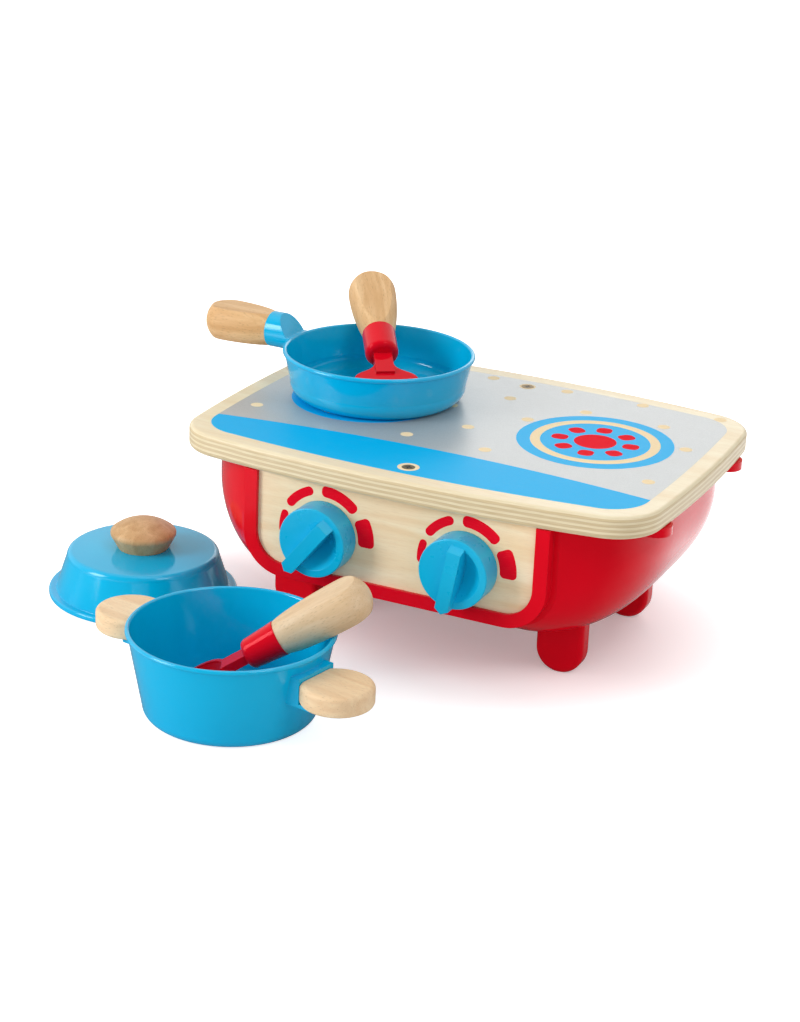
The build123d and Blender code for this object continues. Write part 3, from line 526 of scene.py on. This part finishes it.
def split_print():
    """The outline's parts behind and in front of the stripe's bowed rear edge."""
    loop = print_outline()
    behind = [i for i, (x, y) in enumerate(loop) if y > stripe_edge(x)]
    start, end = behind[0], behind[-1]
    rear = loop[start:end + 1]
    front = loop[end + 1:] + loop[:start]
    reach = (rear[0][0] + front[-1][0]) / 2
    across = [reach - 2 * reach * i / STRIPE_STEPS for i in range(STRIPE_STEPS + 1)]
    edge = [(x, stripe_edge(x)) for x in across]
    return rear + edge[::-1], front + edge


SCREW_HOLE = 4.6
FRONT_RING_OUTER, REAR_RING_OUTER = 7.2, 5.8
front_hole, rear_hole = (
    circle(0.0, side * SCREW_FROM_MIDDLE, SCREW_HOLE, HOLE_POINTS) for side in (-1, 1)
)
grey_area, blue_area = split_print()
ink_plates("print_grey_field", [(grey_area, rear_hole)], on_board, INK_LIFT, SILVER, "hob")
ink_plates("print_blue_stripe", [(blue_area, front_hole)], on_board, INK_LIFT, SKY, "hob")

# Cream dots in rows, every second row half a pitch over, with none on the burners
BURNERS = ((-84.9, 13.0), (84.9, 13.0))
BURNER_OUTER, CREAM_OUTER, CREAM_INNER, BURNER_CENTRE = 52.8, 43.6, 36.9, 14.3
DOT_RADIUS, DOT_CLEARANCE, DOT_REACH = 4.3, 1.0, 150.0
DOT_PITCH, ROW_PITCH, FIRST_ROW = 57.0, 36.1, -41.3
DOT_ROWS, DOTS_EACH_SIDE = 5, 3
CLEAR_OF_BURNER = BURNER_OUTER + DOT_RADIUS + DOT_CLEARANCE
dots = []
for row in range(DOT_ROWS):
    offset = DOT_PITCH / 2 if row % 2 == 0 else 0.0
    for column in range(-DOTS_EACH_SIDE, DOTS_EACH_SIDE + 1):
        x, y = column * DOT_PITCH + offset, FIRST_ROW + row * ROW_PITCH
        clear = all(math.hypot(x - u, y - v) > CLEAR_OF_BURNER for u, v in BURNERS)
        if clear and abs(x) < DOT_REACH:
            dots.append(circle(x, y, DOT_RADIUS, DOT_POINTS))
ink_plates("print_dots", dots, on_board, OVERPRINT_LIFT, CREAM, "hob")

ink_plates(
    "print_burner_blue",
    [circle(x, y, BURNER_OUTER, RING_POINTS) for x, y in BURNERS],
    on_board, OVERPRINT_LIFT, SKY, "hob",
)
ink_plates(
    "print_burner_ring",
    [ring(x, y, CREAM_OUTER, CREAM_INNER) for x, y in BURNERS],
    on_board, TOP_LIFT, CREAM, "hob",
)
PETALS, PETAL_REACH, PETAL_TURN = 8, 24.4, 6.5
PETAL_HALF_REACH, PETAL_HALF_WIDTH, PETAL_CORNER = 5.6, 5.3, 4.2
petals = []
for x, y in BURNERS:
    petals.append(circle(x, y, BURNER_CENTRE, CENTRE_POINTS))
    for number in range(PETALS):
        a = 2 * math.pi * number / PETALS + math.radians(PETAL_TURN)
        u, v = x + PETAL_REACH * math.cos(a), y + PETAL_REACH * math.sin(a)
        petals.append(rounded_box(u, v, PETAL_HALF_REACH, PETAL_HALF_WIDTH, PETAL_CORNER, a))
ink_plates("print_burner_petals", petals, on_board, TOP_LIFT, SCARLET, "hob")

screw_rings = [
    ring(0.0, -SCREW_FROM_MIDDLE, FRONT_RING_OUTER, SCREW_HOLE),
    ring(0.0, SCREW_FROM_MIDDLE, REAR_RING_OUTER, SCREW_HOLE),
]
ink_plates("print_screw_ring", screw_rings, on_board, OVERPRINT_LIFT, CREAM, "hob")

# Scale marks round the knobs, each thicker than the one before: start, end, inner and outer radius
DIAL_HEIGHT, DIAL_OFFSET = 84.0, 50.0
DIAL_MARKS = ((188, 157, 27.6, 32.8), (149, 106, 27.4, 33.6), (94, 42, 26.2, 34.0), (31, -5, 25.0, 36.6))
LARGEST_MARK_CORNER = 3.2
MARK_STEPS, MARK_CORNER_STEPS = 18, 6


def dial_mark(x, y, start, end, inner, outer):
    """An arc of a ring whose ends are rounded, counter-clockwise from its outer edge's end."""
    middle, half = (inner + outer) / 2, (outer - inner) / 2
    cap = min(half, LARGEST_MARK_CORNER)
    turn_in = math.degrees(cap / middle)
    first, last = start - turn_in, end + turn_in

    def arc(radius, begin, finish, steps):
        angles = [math.radians(begin + (finish - begin) * i / MARK_STEPS) for i in steps]
        return [(x + radius * math.cos(a), y + radius * math.sin(a)) for a in angles]

    def corner(angle, radius, quarter):
        base = math.radians(angle)
        cx, cy = x + radius * math.cos(base), y + radius * math.sin(base)
        quarters = [quarter + i / MARK_CORNER_STEPS for i in range(MARK_CORNER_STEPS + 1)]
        angles = [base + math.radians(90 * q) for q in quarters]
        return [(cx + cap * math.cos(a), cy + cap * math.sin(a)) for a in angles]

    return (
        arc(outer, last, first, range(MARK_STEPS + 1))
        + corner(first, outer - cap, 0)[1:]
        + corner(first, inner + cap, 1)
        + arc(inner, first, last, range(1, MARK_STEPS + 1))
        + corner(last, inner + cap, 2)[1:]
        + corner(last, outer - cap, 3)[:-1]
    )


marks = []
for side in (-1, 1):
    for mark in DIAL_MARKS:
        marks.append(dial_mark(board_middle.x / MM + side * DIAL_OFFSET, DIAL_HEIGHT, *mark))
ink_plates("print_dial_marks", marks, on_panel, INK_LIFT, SCARLET, "hob")


# Floor: pale, with a glow that fades towards the hob and keeps the background white

REACH = 6.0
FLOOR_DROP = 0.2 * MM
floor_mesh = bpy.data.meshes.new("floor")
floor_corners = [(-REACH, -REACH, 0), (REACH, -REACH, 0), (REACH, REACH, 0), (-REACH, REACH, 0)]
floor_mesh.from_pydata(floor_corners, [], [(0, 1, 2, 3)])
floor = bpy.data.objects.new("floor", floor_mesh)
floor.location.z = -FLOOR_DROP
scene.collection.objects.link(floor)

FLOOR_COLOUR, DIMMED_COLOUR, DIMMED = (239, 239, 240), (40, 40, 40), 0.85
GLOW_NEAR, GLOW_FAR = 0.22, 0.75
NEAR_REACH, FAR_REACH = 0.08, 0.20
GLOW_SHAPE = (0.75, 1, 0)  # the dim middle is longer in X than in Y
# Round places that mirrors see undimmed: how far right of and behind the hob's middle, the radius that
# is undimmed and the radius where that ends
CARDS = ((0.45, 0.35, 0.34, 0.52), (-0.40, -0.50, 0.23, 0.33))


def floor_material():
    """White floor with a glow for cameras, mirrors and glass alone, so that it doesn't light the object."""
    g = Graph("floor_white")
    rays = g.node("ShaderNodeLightPath").outputs
    seen = g.calc("MAXIMUM", rays["Is Camera Ray"], rays["Is Glossy Ray"])
    seen = g.calc("MAXIMUM", seen, rays["Is Transmission Ray"])
    from_hob = g.vector("LENGTH", g.place(scale=GLOW_SHAPE, shift=(board_middle.x, board_middle.y, 0)))
    fade = g.span(from_hob, NEAR_REACH, FAR_REACH, GLOW_NEAR, GLOW_FAR)
    dimming = 1.0
    for right_of, behind, bright, ends in CARDS:
        card_middle = (board_middle.x + right_of, board_middle.y + behind, 0)
        from_card = g.vector("LENGTH", g.place(scale=(1, 1, 0), shift=card_middle))
        dimming = g.calc("MINIMUM", dimming, g.span(from_card, bright, ends, 0.0, DIMMED))
    dark = g.calc("MULTIPLY", rays["Is Glossy Ray"], dimming)
    glow = g.node("ShaderNodeEmission")
    glow.inputs["Color"].default_value = WHITE
    undimmed = g.calc("SUBTRACT", 1.0, dark)
    g.link(g.calc("MULTIPLY", g.calc("MULTIPLY", seen, fade), undimmed), glow.inputs["Strength"])
    g.finish(Base_Color=g.mix(dark, FLOOR_COLOUR, DIMMED_COLOUR), Roughness=0.6, Specular_IOR_Level=0.2)
    both = g.node("ShaderNodeAddShader")
    g.link(g.shader.outputs[0], both.inputs[0])
    g.link(glow.outputs[0], both.inputs[1])
    g.link(both.outputs[0], g.output.inputs["Surface"])
    return g.material


floor_mesh.materials.append(floor_material())


# Studio: even walls that mirrors see darker in front, and four softboxes

WALL_LIGHT, WALL_SHOWN = 0.60, 1.0
DARK_SIDE = Vector((0.0, -0.97, 0.15)).normalized()
DARK_FROM, DARK_FULL, DARK_DEPTH = 0.1, 0.75, -1.1


def studio_world():
    """Walls that light the object evenly, look white to the camera and grow dark in front for mirrors."""
    world = bpy.data.worlds.new("studio")
    world.use_nodes = True
    g = Nodes(world.node_tree)
    rays = g.node("ShaderNodeLightPath").outputs
    direction = g.node("ShaderNodeTexCoord").outputs["Generated"]
    facing = g.vector("DOT_PRODUCT", direction, DARK_SIDE)
    walls = g.span(facing, DARK_FROM, DARK_FULL, 1.0, DARK_DEPTH, interpolation_type="SMOOTHSTEP")
    mirrored = g.calc("MULTIPLY", rays["Is Glossy Ray"], walls)
    seen = g.calc("MAXIMUM", rays["Is Camera Ray"], rays["Is Transmission Ray"])
    shown = g.calc("ADD", seen, mirrored)
    strength = g.span(shown, 0.0, 1.0, WALL_LIGHT, WALL_SHOWN, clamp=False)
    backdrop = g.node("ShaderNodeBackground")
    backdrop.inputs["Color"].default_value = WHITE
    g.link(strength, backdrop.inputs["Strength"])
    g.link(backdrop.outputs[0], g.node("ShaderNodeOutputWorld").inputs["Surface"])
    return world


scene.world = studio_world()

LIT_POINT = Vector((0.0, 0.0, 0.08))


def softbox(name, place, width, height, power):
    light = bpy.data.lights.new(name, "AREA")
    light.shape = "RECTANGLE"
    light.size, light.size_y = width, height
    light.energy = power
    lamp = bpy.data.objects.new(name, light)
    lamp.location = place
    lamp.rotation_euler = (LIT_POINT - Vector(place)).to_track_quat("-Z", "Y").to_euler()
    scene.collection.objects.link(lamp)


softbox("key_softbox", (-1.30, -1.25, 0.80), 0.7, 1.1, 20.5)
softbox("rear_softbox", (-0.35, 1.75, 0.80), 0.9, 0.6, 2.4)
softbox("right_softbox", (1.0, -0.5, 1.3), 0.6, 0.6, 4.0)
softbox("top_softbox", (0.2, 0.2, 1.9), 1.2, 1.2, 2.5)


# Camera, at the place, turn and lens that were fitted to the photograph

CAMERA_PLACE = (board_middle.x + 0.58723, board_middle.y - 1.37245, board_top + 0.50993)
YAW, PITCH, ROLL = math.radians(24.914), math.radians(21.064), math.radians(2.492)
lens = bpy.data.cameras.new("camera")
lens.sensor_width = 36.0
lens.lens = 82.04
camera = bpy.data.objects.new("camera", lens)
scene.collection.objects.link(camera)
looking = Vector((-math.sin(YAW) * math.cos(PITCH), math.cos(YAW) * math.cos(PITCH), -math.sin(PITCH)))
level = Vector((math.cos(YAW), math.sin(YAW), 0.0))
overhead = level.cross(looking)
right = level * math.cos(ROLL) + overhead * math.sin(ROLL)
up = overhead * math.cos(ROLL) - level * math.sin(ROLL)
axes = Matrix((right, up, -looking)).transposed()
camera.matrix_world = Matrix.Translation(CAMERA_PLACE) @ axes.to_4x4()
scene.camera = camera
